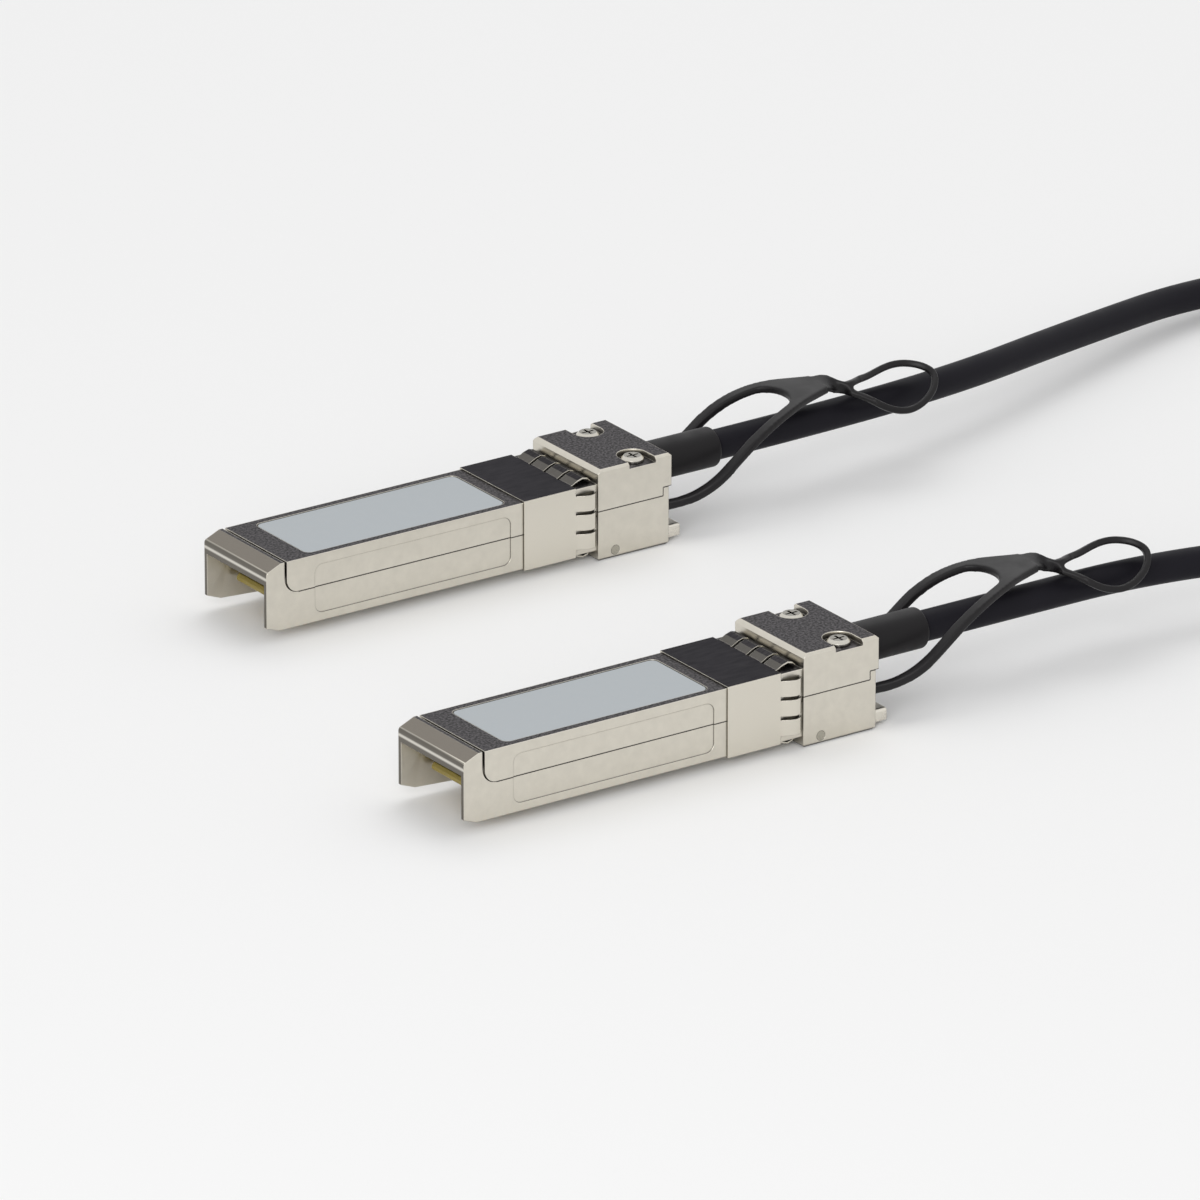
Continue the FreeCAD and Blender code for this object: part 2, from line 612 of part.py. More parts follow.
def paddle_card(plug):
    """Printed circuit card with its narrow bevelled nose."""
    body = plug.body("paddle_card")
    pad(body, "XZ_Plane", [
        ("card_recess", "card_height + card_bevel"),
        ("card_recess + card_bevel", "card_height"),
        ("card_end", "card_height"),
        ("card_end", "card_top"),
        ("card_recess + card_bevel", "card_top"),
        ("card_recess", "card_top - card_bevel"),
    ], "card_width")
    for y in ("-card_width / 2", "card_nose_width / 2"):
        slab(body, "Subtractive", ("card_recess - 1", y, "card_height - 1"),
             ("card_nose_length + 1", "(card_width - card_nose_width) / 2", "card_thickness + 2"))


def card_contacts(plug):
    """Ten gold pads on each face of the card's nose, as one group of separate pads."""
    pads = []
    for row in range(10):
        for z in ("card_top", "card_height - pad_thickness"):
            box = doc.addObject("Part::Box", "Pad")
            bind(box, "Length", "pad_length")
            bind(box, "Width", "pad_width")
            bind(box, "Height", "pad_thickness")
            place(box, "card_recess + pad_setback", f"({row} - 4.5) * pad_pitch - pad_width / 2", z)
            pads.append(box)
    group = doc.addObject("Part::Compound", f"card_contacts_{plug.letter}")
    group.Links = pads
    plug.keep(group, "card_contacts")


def memory_chip(plug):
    """Small memory chip on the card."""
    body = plug.body("memory_chip")
    middle_slab(body, "Additive", "card_recess + chip_setback", "card_top",
                "chip_size", "chip_size", "chip_height")
    round_edges(body, "Chamfer", "card_bevel / 2", lambda edge:
                near(edge.CenterOfMass.z, size("card_height") + size("card_thickness")
                     + size("chip_height")))


def lead_path(side):
    """From the cable's jacket down to the card, for the lead on one side."""
    gather = side * size("lead_gather")
    spread = side * size("lead_spread")
    jacket = size("plug_reach") + size("jacket_setback")
    card_end = size("plug_reach") - size("card_setback")
    on_card = size("card_height") + size("card_thickness") + size("lead_diameter") / 2
    points = [
        Vector(jacket, gather, size("cable_height")),
        Vector(jacket - size("lead_exit"), gather, size("cable_height")),
        Vector(card_end + size("lead_settle"), spread, on_card),
        Vector(card_end - size("lead_lap"), spread, on_card),
    ]
    return rounded_route(points)[0]


def twinax_leads(plug):
    """The two shielded pairs, from the jacket's end to the card."""
    radius = size("lead_diameter") / 2
    leads = [swept_disc(lead_path(side), radius) for side in (-1, 1)]
    plug.shape("twinax_leads", Part.Compound(leads))


def lead_moulding(plug):
    """Moulding over the soldered ends of the leads, seated on the card."""
    body = plug.body("lead_moulding")
    middle_slab(body, "Additive", "card_end + mould_overhang - mould_length", "card_top",
                "mould_length", "mould_width", "mould_height")
    round_edges(body, "Fillet", "mould_round", lambda edge: runs_along(edge, "z"))
    for side in ("-1", "1"):
        rod(body, "Subtractive", "x", ("card_end - lead_lap", f"{side} * lead_spread",
                                       "card_top + lead_diameter / 2"),
            "lead_diameter / 2", "lead_lap + mould_overhang + 1")


def crimp_ferrule(plug):
    """Metal ring crimped on the jacket."""
    body = plug.body("crimp_ferrule")
    start = ("block_end - rear_wall - flange_length - ferrule_length", "0", "cable_height")
    rod(body, "Additive", "x", start, "cable_diameter / 2 + bore_fit + ferrule_wall",
        "ferrule_length")
    rod(body, "Subtractive", "x", start, "cable_diameter / 2 + bore_fit", "ferrule_length")


def cable_boot(plug):
    """Moulded boot: flange held inside the block, round sleeve outside."""
    body = plug.body("cable_boot")
    rod(body, "Additive", "x", ("block_end - rear_wall", "0", "cable_height"),
        "boot_diameter / 2", "rear_wall + boot_length")
    end = size("plug_reach") + size("block_length") + size("boot_length")
    round_edges(body, "Fillet", "boot_edge", lambda edge: near(edge.CenterOfMass.x, end)
                and edge.Curve.TypeId == "Part::GeomCircle")
    slab(body, "Additive",
         ("block_end - rear_wall - flange_length", "-flange_width / 2",
          "cable_height - flange_height / 2"),
         ("flange_length", "flange_width", "flange_height"))
    rod(body, "Subtractive", "x", ("block_end - rear_wall - flange_length - 1", "0", "cable_height"),
        "cable_diameter / 2 + bore_fit", "rear_wall + flange_length + boot_length + 2")


def cover_screws(plug):
    """Two pan-head screws with cross slots, as one group."""
    screws = []
    seat = "plug_height + block_rise - screw_pocket_depth"
    for side in ("-1", "1"):
        body = doc.addObject("PartDesign::Body", "Screw")
        centre = ("screw_x", f"{side} * screw_y")
        rod(body, "Additive", "z", (*centre, seat), "screw_head_diameter / 2", "screw_head_height")
        top = (size("plug_height") + size("block_rise") - size("screw_pocket_depth")
               + size("screw_head_height"))
        round_edges(body, "Chamfer", "screw_head_bevel", lambda edge:
                    near(edge.CenterOfMass.z, top) and edge.Curve.TypeId == "Part::GeomCircle")
        rod(body, "Additive", "z", (*centre, f"{seat} - screw_length"),
            "screw_shank_diameter / 2", "screw_length + 0.1")
        for length, width in (("screw_slot_length", "screw_slot"),
                              ("screw_slot", "screw_slot_length")):
            slab(body, "Subtractive",
                 (f"screw_x - {length} / 2", f"{side} * screw_y - {width} / 2",
                  f"{seat} + screw_head_height - screw_slot_depth"),
                 (length, width, "screw_head_height"))
        screws.append(body)
    group = doc.addObject("Part::Compound", f"cover_screws_{plug.letter}")
    group.Links = screws
    plug.keep(group, "cover_screws")


def latch_lever(plug):
    """Rocking latch: boss in front of the pin, ramp behind it."""
    body = plug.body("latch_lever")
    end = "bar_x + bar_length + slide_travel - lever_end_gap"
    rest = "bar_over - lever_bar_gap"
    pad(body, "XZ_Plane", [
        ("boss_front - lever_nose", "lever_low"),
        ("boss_front", "lever_low"),
        ("boss_front + boss_ramp", "-boss_drop"),
        ("boss_rear", "-boss_drop"),
        ("boss_rear", "lever_low"),
        ("pin_x - lever_hub", "lever_low"),
        ("pin_x - lever_hub", "-pin_depth"),
        ("pin_x", "-lever_heel"),
        (end, "-lever_heel"),
        (end, f"{rest} + lever_ramp"),
        ("bar_x + bar_length", rest),
        ("bar_x - lever_throat", rest),
        ("bar_x - lever_throat - lever_neck", "lever_top"),
        ("boss_front - lever_nose", "lever_top"),
    ], "lever_width")
    rod(body, "Additive", "y", ("pin_x", "-lever_width / 2", "-pin_depth"),
        "lever_hub", "lever_width")
    rod(body, "Subtractive", "y", ("pin_x", "-lever_width / 2 - 1", "-pin_depth"),
        "pin_diameter / 2 + pin_play", "lever_width + 2")


def pivot_pin(plug):
    """Pin across the rear block, flush with its sides."""
    body = plug.body("pivot_pin")
    rod(body, "Additive", "y", ("pin_x", "-block_half", "-pin_depth"), "pin_diameter / 2",
        "block_width")


def pull_slider(plug):
    """Release slider: plate under the strap, cross bar over the lever, tail behind the block."""
    body = plug.body("pull_slider")
    middle_slab(body, "Additive", "bar_x", "slider_low", "post_x - bar_x + 0.5",
                "slider_width", "slider_sheet")
    middle_slab(body, "Additive", "bar_x", "slider_low", "bar_length", "slider_width",
                "bar_top - slider_low")
    middle_slab(body, "Additive", "notch_x + slider_gap", "slider_low",
                "block_end + tail_gap + 0.2 - notch_x - slider_gap", "tail_width", "slider_sheet")
    middle_slab(body, "Additive", "block_end + tail_gap", "slider_low", "tail_length",
                "tail_width", "tail_height")
    end = size("plug_reach") + size("block_length") + size("tail_gap") + size("tail_length")
    top = size("block_skin") - size("block_drop") + size("slider_gap") + size("tail_height")
    round_edges(body, "Fillet", "tail_edge", lambda edge:
                near(edge.CenterOfMass.x, end)
                or (runs_along(edge, "x") and near(edge.CenterOfMass.z, top)
                    and near(abs(edge.CenterOfMass.y), size("tail_width") / 2)))
    middle_slab(body, "Subtractive", "bar_x - 1", "slider_low - 1",
                "notch_x - bar_x + 1", "2 * slot_half", "bar_over - slider_low + 1")
    for side in ("-1", "1"):
        rod(body, "Additive", "z", ("post_x", f"{side} * arm_y", "slider_low + slider_sheet / 2"),
            "post_diameter / 2", "post_top - slider_low - slider_sheet / 2")


def return_spring(plug):
    """Bowed leaf between the slider's cross bar and the rear wall."""
    body = plug.body("return_spring")
    front = "bar_x + bar_length"
    rear = "block_end - rear_wall"
    middle = f"({front} + {rear}) / 2"
    pad(body, "XZ_Plane", [
        (front, "spring_low"),
        (f"{front} + spring_sheet", "spring_low"),
        (middle, "spring_high - 1.2 * spring_sheet"),
        (f"{rear} - spring_sheet", "spring_low"),
        (rear, "spring_low"),
        (f"{middle} + spring_crown / 2", "spring_high"),
        (f"{middle} - spring_crown / 2", "spring_high"),
    ], "spring_width")


def crosswise(at, half_width, low, high):
    """The four corners of an upright rectangle across x, round a point."""
    return [at + Vector(0, y, z) for y, z in ((-half_width, low), (half_width, low),
                                              (half_width, high), (-half_width, high))]


# Sections of the twisted neck: behind the block's rear face, across, above the underside of the
# body, degrees turned over, half width and half thickness
NECK_SECTIONS = [
    (26.3, 0, 11.17, 0, 2.17, 0.45), (27.4, 0.05, 11.13, 5, 1.98, 0.45),
    (28.2, 0.1, 11.0, 18, 1.7, 0.45), (28.8, 0.05, 10.83, 45, 1.35, 0.45),
    (29.3, -0.15, 10.6, 80, 1.1, 0.46), (29.8, -0.45, 10.4, 115, 1.02, 0.48),
    (30.3, -0.75, 10.25, 138, 1.0, 0.55), (31.0, -1.05, 10.05, 154, 1.0, 0.78),
]

# Middle line of the finger loop, from the neck round its end and back to the neck: behind the
# block's rear face, across, and above the underside of the body
LOOP_LINE = [
    (30.6, -1.2, 9.7), (31.4, -1.75, 9.5), (32.2, -2.5, 9.15),
    (33.1, -3.2, 8.6), (34.4, -3.9, 7.8),
    (36.0, -4.4, 7.2), (37.6, -4.5, 7.0), (39.6, -4.2, 7.3), (41.3, -3.6, 8.0),
    (42.6, -2.6, 8.9), (43.1, -1.4, 9.7), (42.6, -0.2, 10.2), (41.4, 0.9, 10.5),
    (40.1, 1.5, 10.6), (38.5, 1.7, 10.5), (36.7, 1.45, 10.3), (34.8, 1.0, 10.15),
    (33.2, 0.45, 10.25), (31.9, -0.25, 10.4), (30.6, -0.75, 10.62),
]


def band_section(middle, side, up):
    """The rectangle round a point, from its half width and half thickness as vectors."""
    corners = [middle - side - up, middle + side - up, middle + side + up, middle - side + up]
    return Part.makePolygon(corners + corners[:1])


def twisted_neck(rear):
    """The neck that turns the web over on its way to the loop."""
    sections = []
    for x, y, z, turned, half_width, half_thickness in NECK_SECTIONS:
        turn = math.radians(turned)
        sections.append(band_section(
            Vector(rear + x, y, z), Vector(0, math.cos(turn), math.sin(turn)) * half_width,
            Vector(0, -math.sin(turn), math.cos(turn)) * half_thickness))
    return Part.makeLoft(sections, True, True)


def finger_loop(rear):
    """The loop's band, whose narrow side looks one way all round."""
    line = Part.BSplineCurve()
    line.interpolate([Vector(rear + x, y, z) for x, y, z in LOOP_LINE])
    turn, lift = math.radians(size("loop_turn")), math.radians(size("loop_lift"))
    looks = Vector(-math.sin(turn) * math.cos(lift), -math.cos(turn) * math.cos(lift),
                   math.sin(lift))
    length = line.length()
    count = 2 * len(LOOP_LINE)
    sections = []
    for i in range(count + 1):
        at = line.parameterAtDistance(length * i / count, line.FirstParameter)
        along = line.tangent(at)[0]
        side = (looks - along * looks.dot(along)).normalize()
        sections.append(band_section(line.value(at), side * size("loop_band") / 2,
                                     along.cross(side) * size("loop_thickness") / 2))
    return Part.makeLoft(sections, True, True)


def pull_strap(plug):
    """Moulded pull strap: two arms from the slider's posts, a web, and a twisted finger loop."""
    thickness = size("strap_thickness")
    half = thickness / 2
    band = size("strap_band") / 2
    rear = size("plug_reach") + size("block_length")
    post = rear - size("rear_wall")
    arm = size("block_width") / 2 - size("strap_arm_inset")
    climb_start = rear + size("strap_climb_start")
    climb_end = rear + size("strap_climb_end")
    side_end = rear + size("strap_side_end")
    top = size("strap_crest")
    tall = size("strap_end_height") + size("block_rise")

    # Side view: level out of the block, up over the boot, and level again
    level = size("strap_level")
    eye_radius = size("strap_eye_radius")
    side_view = [Vector(post - eye_radius, 0, level), Vector(climb_start, 0, level),
                 Vector(climb_end, 0, top), Vector(side_end, 0, size("strap_end_height"))]
    ribbon = swept_bar(rounded_route(side_view)[0],
                       crosswise(side_view[0], size("block_width"), -half, half))

    # Seen from above: each arm keeps to its side, then turns in and joins the other in the web
    web_tip = size("strap_web_tip")
    web_half = size("strap_web_half")
    web_start = rear + size("strap_web_start")
    web_end = rear + size("strap_web_end")
    plan = []
    for side in (-1, 1):
        line = [Vector(post, side * arm, 0),
                Vector(climb_start, side * (arm + size("strap_bow")), 0),
                Vector(climb_end, side * arm, 0),
                Vector(web_end, side * (web_tip - band), 0)]
        plan.append(swept_bar(rounded_route(line)[0], crosswise(line[0], band, 0, tall)))
        plan.append(Part.makeCylinder(eye_radius, tall, line[0]))
    corners = [Vector(web_start, -web_half, 0), Vector(web_end, -web_tip, 0),
               Vector(web_end, web_tip, 0), Vector(web_start, web_half, 0)]
    web = Part.Face(Part.makePolygon(corners + corners[:1])).extrude(Vector(0, 0, tall))
    web = web.cut(Part.makeCylinder(size("strap_web_hole"), tall, Vector(web_start, 0, 0)))
    flat = ribbon.common(plan[0].fuse(plan[1:] + [web]))

    solid = flat.fuse([twisted_neck(rear), finger_loop(rear)])
    eye = size("post_diameter") / 2 + size("strap_eye_fit")
    for side in (-1, 1):
        solid = solid.cut(Part.makeCylinder(eye, tall, Vector(post, side * arm, 0)))
    plug.shape("pull_strap", solid.removeSplitter())


def cable_route():
    """The cable's own points: out of plug a, round in one open loop, and into plug b."""
    rise = size("block_drop") + size("cable_height")
    side = size("plug_spacing") / 2
    start_a = size("plug_start")
    start_b = start_a - size("plug_stagger")
    inner = size("plug_reach") + size("jacket_setback")
    first_run = 27
    loop = [
        (61.9, 33.4, 7.5), (87.9, 43, 5.2), (114.9, 51.5, 3.0), (142.9, 46, 2.1),
        (163.9, 24.5, 2.1), (169.9, -6, 2.1), (157.4, -34, 2.1), (131.9, -49.5, 2.1),
        (102.9, -47.5, 3.4), (75.9, -37.5, 6.2), (48.4, -30.6, 7.7),
    ]
    return [
        Vector(start_a + inner, side, rise), Vector(start_a + inner + first_run, side, rise),
        *[Vector(*point) for point in loop],
        Vector(start_b + inner + first_run, -side, rise), Vector(start_b + inner, -side, rise),
    ]


def cable():
    """Jacketed twinax cable, from jacket end to jacket end."""
    route, radii = rounded_route(cable_route())
    radius = size("cable_diameter") / 2
    item = doc.addObject("Part::Feature", "cable")
    item.Shape = swept_disc(route, radius)
    pieces.append(item)
    wanted = math.pi * radius ** 2 * route.Length
    print("cable length", round(route.Length, 2), "smallest radius", round(min(radii), 1))
    print("cable radii", [round(value, 1) for value in radii])
    print("cable volume over section times length", round(item.Shape.Volume / wanted, 5))


PLUGS = [
    Plug("a", "plug_start", "plug_spacing / 2"),
    Plug("b", "plug_start - plug_stagger", "-plug_spacing / 2"),
]
MAKERS = [
    lower_shell, upper_shell, label, emi_gasket, paddle_card, card_contacts, memory_chip,
    twinax_leads, lead_moulding, crimp_ferrule, cable_boot, cover_screws, latch_lever, pivot_pin,
    pull_slider, return_spring, pull_strap,
]
for end in PLUGS:
    for maker in MAKERS:
        maker(end)
cable()
doc.recompute()

# Nothing is written unless every feature worked out and every piece is a sound solid
for item in doc.Objects:
    if "Invalid" in item.State or "Error" in item.State:
        raise SystemExit(f"{item.Label} did not work out: {item.State}")
for item in pieces:
    if item.Shape.isNull() or not item.Shape.isValid() or not item.Shape.Solids:
        raise SystemExit(f"{item.Label} is not a sound solid")

os.makedirs("parts", exist_ok=True)
for item in pieces:
    item.Shape.exportStep(f"parts/{item.Label}.step")
    print(item.Label, len(item.Shape.Solids), round(item.Shape.Volume, 2))
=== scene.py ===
# Direct attach copper cable: two latching plugs on one twinax cable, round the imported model.
# Metres, in the shared frame: +X runs from the plugs' mating ends towards the cable, +Z is up.

import math

import bmesh
import bpy
from bpy.props import FloatProperty, FloatVectorProperty, IntProperty, PointerProperty
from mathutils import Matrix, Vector


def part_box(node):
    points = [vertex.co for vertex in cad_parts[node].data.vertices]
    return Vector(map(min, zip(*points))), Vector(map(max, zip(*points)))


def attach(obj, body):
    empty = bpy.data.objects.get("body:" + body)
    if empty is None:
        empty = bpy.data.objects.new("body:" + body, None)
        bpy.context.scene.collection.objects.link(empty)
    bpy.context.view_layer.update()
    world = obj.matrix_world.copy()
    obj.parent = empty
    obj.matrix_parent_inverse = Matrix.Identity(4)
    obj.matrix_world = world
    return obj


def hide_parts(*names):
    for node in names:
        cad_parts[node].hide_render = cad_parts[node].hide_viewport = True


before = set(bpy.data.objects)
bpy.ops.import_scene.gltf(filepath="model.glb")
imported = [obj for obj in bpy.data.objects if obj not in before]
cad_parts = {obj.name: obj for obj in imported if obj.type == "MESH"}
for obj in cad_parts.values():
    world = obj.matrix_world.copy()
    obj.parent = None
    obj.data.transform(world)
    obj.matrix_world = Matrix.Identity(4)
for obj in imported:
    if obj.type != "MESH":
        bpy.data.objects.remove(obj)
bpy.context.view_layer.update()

bl_info = {
    "name": "Direct attach cable",
    "version": (1, 0, 0),
    "blender": (4, 5, 0),
    "location": "3D View > Sidebar > Cable",
    "description": "Dresses the packed plugs and their cable, and lights them as on a studio table",
    "category": "Object",
}

MM = 0.001
ENDS = ("a", "b")
ROOT = "cable_and_plugs"

# The cable's points in metres: out of plug a, round in one open loop, and into plug b
CABLE_ROUTE = [
    (0.0074, 0.031, 0.0080), (0.0344, 0.031, 0.0080), (0.0619, 0.0334, 0.0075),
    (0.0879, 0.043, 0.0052), (0.1149, 0.0515, 0.0030), (0.1429, 0.046, 0.0021),
    (0.1639, 0.0245, 0.0021), (0.1699, -0.006, 0.0021), (0.1574, -0.034, 0.0021),
    (0.1319, -0.0495, 0.0021), (0.1029, -0.0475, 0.0034), (0.0759, -0.0375, 0.0062),
    (0.0484, -0.0306, 0.0077), (0.0207, -0.031, 0.0080), (-0.0063, -0.031, 0.0080),
]
CABLE_DIAMETER = 0.0038

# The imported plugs' places and sizes, which the new pieces and the seams keep to
PLUG_OFFSET = 31 * MM
UNDERSIDE = 1.4 * MM
PARTING = 5.8 * MM
HOOD_LENGTH = 2.6 * MM
PLUG_REACH = 47.5 * MM
HALF_WIDTH = 6.7 * MM
CHANNEL_HALF = 4.7 * MM
CHANNEL_LENGTH = 10.4 * MM
CHEEK_BEVEL = 1.2 * MM

# How near a packed corner lies to where it is looked for
NEAR = 0.01 * MM

# Soft lamps: name, place and size in metres, power in watts
LAMPS = (
    ("key_lamp", (-0.8, -0.8, 0.55), 0.7, 6.4),
    ("top_lamp", (0.4, 0.5, 1.0), 0.8, 2.4),
)


def linear(hex_colour):
    """A linear colour from an sRGB hex value."""
    levels = [int(hex_colour[i:i + 2], 16) / 255 for i in (1, 3, 5)]
    return [c / 12.92 if c <= 0.04045 else ((c + 0.055) / 1.055) ** 2.4 for c in levels]


def colour_prop(name, description, hex_colour):
    return FloatVectorProperty(name=name, description=description, subtype="COLOR", size=3,
                               min=0, max=1, default=linear(hex_colour))


def length_prop(name, description, millimetres):
    return FloatProperty(name=name, description=description, unit="LENGTH", precision=5,
                         default=millimetres * MM, min=0)


class StageSettings(bpy.types.PropertyGroup):
    floor_colour: colour_prop("Floor", "Paper sweep that the cable lies on", "#F4F4F4")
    floor_reach: length_prop("Reach", "Paper sweep from its middle to its edges", 4000)
    world_level: FloatProperty(name="Room", description="Light from all round", default=0.7, min=0)
    seen_level: FloatProperty(name="Backdrop", default=0.9, min=0,
                              description="The room's brightness to the eye and in reflections")
    key_level: FloatProperty(name="Lamps", description="Share of the lamps' power", default=1.0,
                             min=0)
    camera_target: FloatVectorProperty(name="Target", size=3, subtype="XYZ", unit="LENGTH",
                                       description="Point between the plugs that is looked at",
                                       default=(-0.005438, 0.010838, 0.0014))
    camera_turn: FloatProperty(name="Turn", description="Camera's turn about the plugs",
                               subtype="ANGLE", default=math.radians(-34.544))
    camera_lift: FloatProperty(name="Lift", description="Camera's height above the table",
                               subtype="ANGLE", default=math.radians(21.792))
    camera_distance: length_prop("Distance", "Camera to its target", 1668.356)
    camera_lens: FloatProperty(name="Lens", description="Focal length in millimetres", default=420)


class CastingSettings(bpy.types.PropertyGroup):
    side_colour: colour_prop("Plating", "Nickel plating on the sides", "#DAD5C9")
    # Painted reflection: faces that look up take this dark tone, as if they mirrored a dark room
    # above; the grit speckle on it is the blasted surface's own.
    painted_dark_top_colour: colour_prop("Blasted top", "Grit-blasted upward faces", "#484647")
    # Painted reflection: the hood's slope takes this middle tone, between the lit sides and the
    # dark tops.
    slope_colour: colour_prop("Hood", "Satin slope of the hood over the card's edge", "#746E66")
    # Painted highlight: the bright lines along the castings' upper edges, and a bright painted
    # reflection streak along the hood's lip.
    painted_highlight_colour: colour_prop("Rubbed edge", "Edges of the castings, rubbed bright", "#EEEAE0")
    # Painted reflection: the hood's rolled lip and the cheeks' front edges take this dark tone, as
    # if they mirrored a dark room in front.
    lip_shade_colour: colour_prop("Hood's lip", "Darker front edges of the mouth", "#46413B")
    seam_colour: colour_prop("Seam", "Shadow in seams and slots", "#262320")
    # The grit marks are drawn a little coarser than they are, so that they show
    grain: length_prop("Grain", "Grit marks on the castings' tops", 0.3)
    cheek_edge: length_prop("Cheek", "Front edge of the mouth's cheeks, across", 0.5)
    bevel_rise: length_prop("Bevel's rise", "Bevel under the cheeks, up their front edge", 0.65)
    bevel_run: length_prop("Bevel's run", "Bevel under the cheeks, along them", 1.8)


class PlasticSettings(bpy.types.PropertyGroup):
    strap_colour: colour_prop("Strap", "Moulded pull strap", "#100E10")
    jacket_colour: colour_prop("Jacket", "Cable jacket", "#1C1B20")
    boot_colour: colour_prop("Boot", "Moulded boot", "#121012")
    foil_colour: colour_prop("Foil", "Bare silver-grey label", "#A8AEB2")
    strap_grid: length_prop("Strap's grid", "Even grid that the strap is softened on", 0.12)
    strap_rounds: IntProperty(name="Softness", description="Smoothing rounds of the strap's edges",
                              default=14, min=0)
    neck_rounds: IntProperty(name="Neck", description="Further smoothing rounds of its half twist",
                             default=50, min=0)


class DressSettings(bpy.types.PropertyGroup):
    stage: PointerProperty(type=StageSettings)
    casting: PointerProperty(type=CastingSettings)
    plastic: PointerProperty(type=PlasticSettings)


def settings():
    return bpy.context.scene.cable_dress


# Nodes

def add(tree, kind, *values, sockets=(), **options):
    """Adds a node with its settings and links, and returns its outputs.

    The values go to its first sockets in order, and those in sockets to the ones that they name.
    Another node's output is linked."""
    node = tree.nodes.new("ShaderNode" + kind)
    for option, value in options.items():
        setattr(node, option, value)
    for socket, value in (*enumerate(values), *dict(sockets).items()):
        if isinstance(value, bpy.types.NodeSocket):
            tree.links.new(value, node.inputs[socket])
        else:
            node.inputs[socket].default_value = value
    return node.outputs


def new_material(name):
    """An empty material, its node tree, and its object coordinates in metres."""
    material = bpy.data.materials.new(name)
    material.use_nodes = True
    tree = material.node_tree
    tree.nodes.clear()
    return material, tree, add(tree, "TexCoord")


def finish_material(material, tree, sockets):
    """Gives the material its shader and its output node."""
    add(tree, "OutputMaterial", add(tree, "BsdfPrincipled", sockets=sockets)[0])
    return material


def shade(colour, share=1.0):
    """A colour with its alpha, made darker or lighter by a share."""
    return (*[c * share for c in colour[:3]], 1.0)


def mask(tree, *parts):
    """The product of its parts, from 0 to 1.

    A part is another mask, or a value, its low, its high, and the shares that these two give."""
    product = None
    for part in parts:
        if isinstance(part, tuple):
            part = add(tree, "MapRange", *part)[0]
        if product is not None:
            part = add(tree, "Math", product, part, operation="MULTIPLY")[0]
        product = part
    return product


def layers(tree, colour, *over):
    """A colour with others laid over it in turn, each as far as its mask says."""
    for share, other in over:
        colour = add(tree, "Mix", share, sockets={6: colour, 7: other}, data_type="RGBA")[2]
    return colour


def facing_up(tree, coords, low=0.8, high=0.93):
    """1 on faces that look up, 0 on bevels and sides."""
    return mask(tree, (add(tree, "SeparateXYZ", coords["Normal"])["Z"], low, high, 0, 1))


def crevices(tree, reach, darkest):
    """Painted shade: falls from 1 on open faces to the darkest share in slots, seams and corners.
    """
    light = add(tree, "AmbientOcclusion", sockets={"Distance": reach}, samples=12)["AO"]
    return mask(tree, (light, 0.35, 0.85, darkest, 1))


def rounding(tree, radius):
    """The normal with its edges rounded, how far it turns there, and that turn in x, y and z."""
    rounded = add(tree, "Bevel", sockets={"Radius": radius}, samples=8)[0]
    flat = add(tree, "NewGeometry")["True Normal"]
    turn = add(tree, "VectorMath", rounded, flat, operation="SUBTRACT")[0]
    length = add(tree, "VectorMath", turn, operation="LENGTH")["Value"]
    return rounded, length, add(tree, "SeparateXYZ", turn)


# Materials

def grit_marks(tree, coords, look):
    """The even speckle of a grit-blasted casting."""
    return add(tree, "TexNoise", sockets={
        "Vector": coords["Object"], "Scale": 1 / look.grain, "Detail": 1.5,
        "Roughness": 0.6})["Fac"]


def satin_sides(tree, coords, look):
    """Satin plating with a faint mottle, a millimetre or two across, as a cast skin has."""
    mottle = add(tree, "TexNoise", sockets={
        "Vector": coords["Object"], "Scale": 1 / (1.4 * MM), "Detail": 4.0,
        "Roughness": 0.55})["Fac"]
    return layers(tree, shade(look.side_colour, 0.93),
                  (mask(tree, (mottle, 0.3, 0.7, 0, 1)), shade(look.side_colour)))


def hood_front(tree, coords, place, look, sides):
    """Paints the rolled lip and the cheeks' front edges dark, as painted reflection of a dark room
    in front, with a bright painted reflection streak along the lip.

    Only faces that look towards -X count, and none of them behind X = -40 mm."""
    forward = add(tree, "SeparateXYZ", coords["Normal"])["X"]
    front = mask(tree, (forward, -0.4, -0.8, 0, 0.85), (place["X"], -42 * MM, -40 * MM, 1, 0))
    streak = mask(tree, front, (place["Z"], 7.95 * MM, 8.15 * MM, 0, 0.9),
                  (place["Z"], 8.3 * MM, 8.5 * MM, 1, 0))
    return layers(tree, sides, (front, shade(look.lip_shade_colour)), (streak, shade(look.painted_highlight_colour)))


def seam_line(tree, place, turn, seam_side):
    """Where the two halves meet: along the parting, and up the small step at the block's rear,
    whose sides stand further out than the body's."""
    out = add(tree, "Math", place["Y"], operation="ABSOLUTE")[0]
    out = add(tree, "Math", out, PLUG_OFFSET, operation="SUBTRACT")[0]
    out = add(tree, "Math", out, operation="ABSOLUTE")[0]
    near, far = 0.04 * seam_side, 0.16 * seam_side
    across = mask(tree, (turn["Z"], near, far, 0, 0.95))
    along = mask(tree, (turn["X"], -near, -far, 0, 0.95),
                 (place["Z"], PARTING + 0.5 * MM, PARTING + 0.6 * MM, 0, 1),
                 (out, HALF_WIDTH + 0.05 * MM, HALF_WIDTH + 0.15 * MM, 0, 1))
    band = mask(tree, (place["Z"], PARTING - 0.4 * MM, PARTING - 0.3 * MM, 0, 1),
                (place["Z"], PARTING + 1.8 * MM, PARTING + 1.9 * MM, 1, 0))
    return mask(tree, add(tree, "Math", across, along, operation="MAXIMUM")[0], band)


